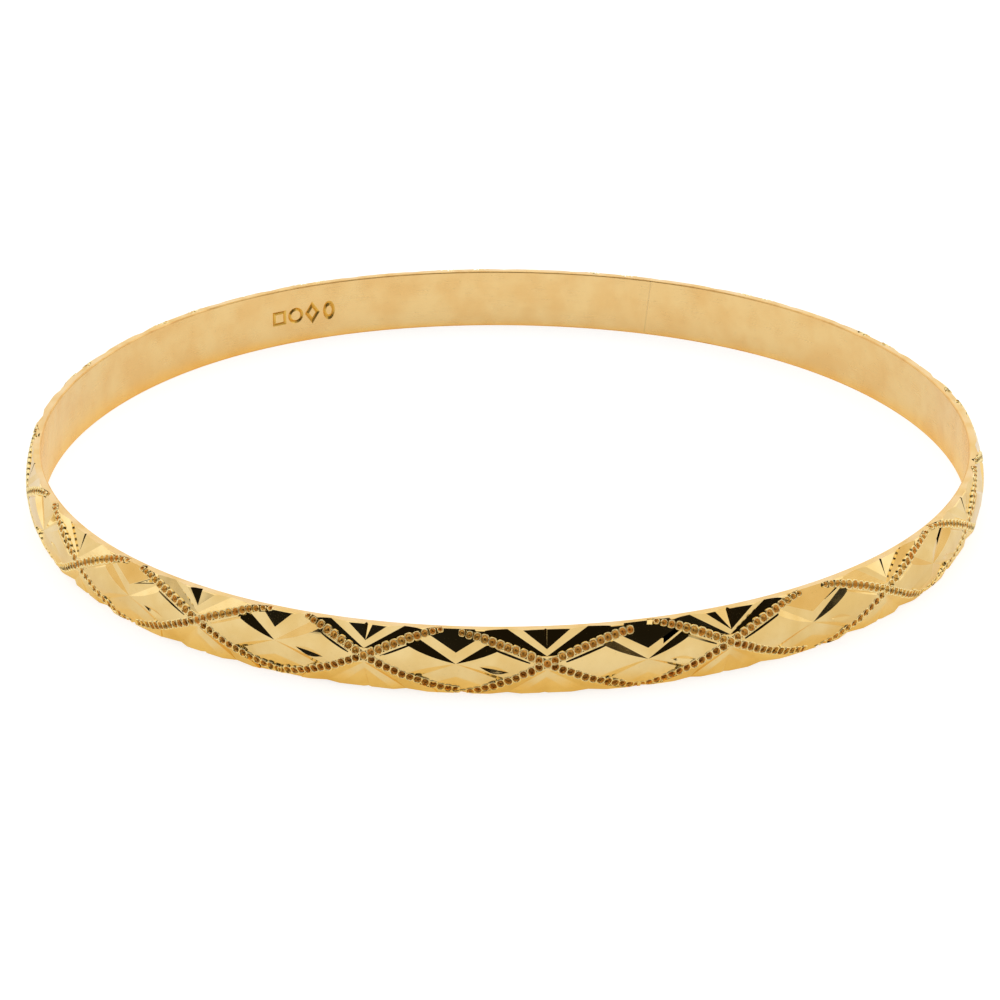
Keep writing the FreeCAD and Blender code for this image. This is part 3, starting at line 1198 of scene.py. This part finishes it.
def make_world():
    """A white tent all round; reflections also show a dark opening in front and warm panels."""
    world = bpy.data.worlds.new("tent")
    bpy.context.scene.world = world
    world.use_nodes = True
    background = world.node_tree.nodes["Background"]
    tree = Nodes(world.node_tree)
    direction, east, north, height = tree.coordinates("Generated")
    reflected = tree.less(1.0, tree.camera_ray())

    level = tree.math("SQRT", tree.less(ABOVE_ONE, tree.times(height, height)))
    turned = math.radians(DARK_TURN)
    ahead = tree.times(north, -math.cos(turned))
    aside = tree.times(east, -math.sin(turned))
    frontward = tree.math("DIVIDE", tree.total(ahead, aside), level)
    facing = tree.ramp(frontward, *(math.cos(math.radians(angle)) for angle in DARK_SIDES))
    above = tree.ramp(height, *sines(DARK_BOTTOM))
    below_top = tree.ramp(height, *sines(DARK_TOP), 1.0, 0.0)
    dark = tree.times(tree.times(tree.times(facing, above), below_top), reflected)
    strength = tree.ramp(dark, 0.0, 1.0, 1.0, DARK_LEVEL)
    tree.put(tree.times(strength, WORLD_STRENGTH), background.inputs["Strength"])

    panels = tree.ramp(tree.noise(direction, PANEL_SCALE, 1.0), *PANEL_RANGE)
    colour = tree.blend(tree.times(panels, reflected), TENT_COLOUR, PANEL_COLOUR)
    tree.put(colour, background.inputs["Color"])


# The camera: its distance in inner radii, and its elevation and small turns in degrees.
CAMERA_DISTANCE = 8.7595
ELEVATION = 23.151
YAW = -0.0384
PITCH = -0.5779
ROLL = -0.2399
LENS = 144.12
SENSOR = 36


def make_camera():
    """The camera in front of the ring, looking down at it through a long lens."""
    distance = CAMERA_DISTANCE * INNER_RADIUS * MM
    elevation, yaw, pitch, roll = (math.radians(a) for a in (ELEVATION, YAW, PITCH, ROLL))
    place = Vector((0, -distance * math.cos(elevation), distance * math.sin(elevation)))
    ahead = -place.normalized()
    right = Vector((1, 0, 0))
    ahead = (ahead + right * yaw + right.cross(ahead) * pitch).normalized()
    level = ahead.cross(Vector((0, 0, 1))).normalized()
    upward = level.cross(ahead)
    right = level * math.cos(roll) + upward * math.sin(roll)
    upward = upward * math.cos(roll) - level * math.sin(roll)
    data = bpy.data.cameras.new("camera")
    data.sensor_width = SENSOR
    data.lens = LENS
    data.clip_start = 0.01
    data.clip_end = 20
    camera = bpy.data.objects.new("camera", data)
    axes = Matrix((right, upward, -ahead)).transposed()
    camera.matrix_world = Matrix.Translation(place) @ axes.to_4x4()
    bpy.context.scene.collection.objects.link(camera)
    bpy.context.scene.camera = camera


# -------------------------------- the whole scene
# Each gold: its bright and its deep colour, its roughness, and the depths in metres of its waves
# and of its polishing lines.
GOLDS = {
    "gold": ((0.97, 0.75, 0.36), (0.88, 0.62, 0.235), 0.08, 16e-6, 1.0e-6),
    # the inner wall: satin, and a little warmer and darker than the outside's gold, which is
    # painted shade
    "inner_gold_painted_shade": ((0.98, 0.71, 0.325), (0.93, 0.61, 0.245), 0.20, 40e-6, 1.2e-6),
    "edge_gold": ((0.88, 0.58, 0.22), (0.93, 0.61, 0.245), 0.50, 20e-6, 1.0e-6),
    "mark_gold": ((0.90, 0.58, 0.13), (0.90, 0.58, 0.13), 0.35, 10e-6, 1.0e-6),
    "gold_solder": ((0.88, 0.62, 0.30), (0.88, 0.62, 0.235), 0.24, 20e-6, 1.0e-6),
    "rim_gold": ((0.92, 0.70, 0.39), (0.88, 0.62, 0.235), 0.40, 30e-6, 1.5e-6),
    # the bead lips: the same gold made paler and brighter, a painted highlight
    "lip_gold_painted_highlight": ((1.0, 0.83, 0.42), (1.0, 0.83, 0.42), 0.28, 10e-6, 1.0e-6),
    # the bead pits: the same gold made a deeper orange, painted bounce light from the pit's walls
    "cup_gold_painted_bounce": ((1.0, 0.65, 0.18), (1.0, 0.65, 0.18), 0.60, 10e-6, 1.0e-6),
    # the pits' dark bottoms: painted shade, in dark brown
    "cup_painted_shade": ((0.42, 0.19, 0.035), (0.42, 0.19, 0.035), 0.50, 10e-6, 1.0e-6),
}

make_camera()
make_world()
make_floor()
bpy.context.scene.view_settings.view_transform = "Standard"
golds = {name: gold_material(name, *looks) for name, looks in GOLDS.items()}

stars, crossings = pattern_spots()
band = plain_band()
pattern = pattern_tools(stars, crossings)
take_boolean(band, pattern, "DIFFERENCE")
bpy.data.objects.remove(pattern)

slab = joint_slab()
seam = bpy.data.objects.new("solder_seam", band.data.copy())
bpy.context.scene.collection.objects.link(seam)
take_boolean(seam, slab, "INTERSECT")
take_boolean(band, slab, "DIFFERENCE")
bpy.data.objects.remove(slab)

for piece in (band, seam):
    set_normals(piece)
finish_piece(band, [golds[name] for name in BAND_GOLDS], band_materials(band.data))
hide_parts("band")
finish_piece(seam, [golds["gold_solder"]], [0] * len(seam.data.polygons))
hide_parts("solder_joint")

cups = all_cups(crossings)
for name, profile, materials in (
    ("bead_lips", LIP_PROFILE, [golds["lip_gold_painted_highlight"]]),
    ("bead_cups", CUP_PROFILE, [golds["cup_gold_painted_bounce"], golds["cup_painted_shade"]]),
):
    rings = make_rings(name, cups, profile)
    numbers = [polygon.material_index for polygon in rings.data.polygons]
    finish_piece(rings, materials, numbers)
    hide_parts("band")
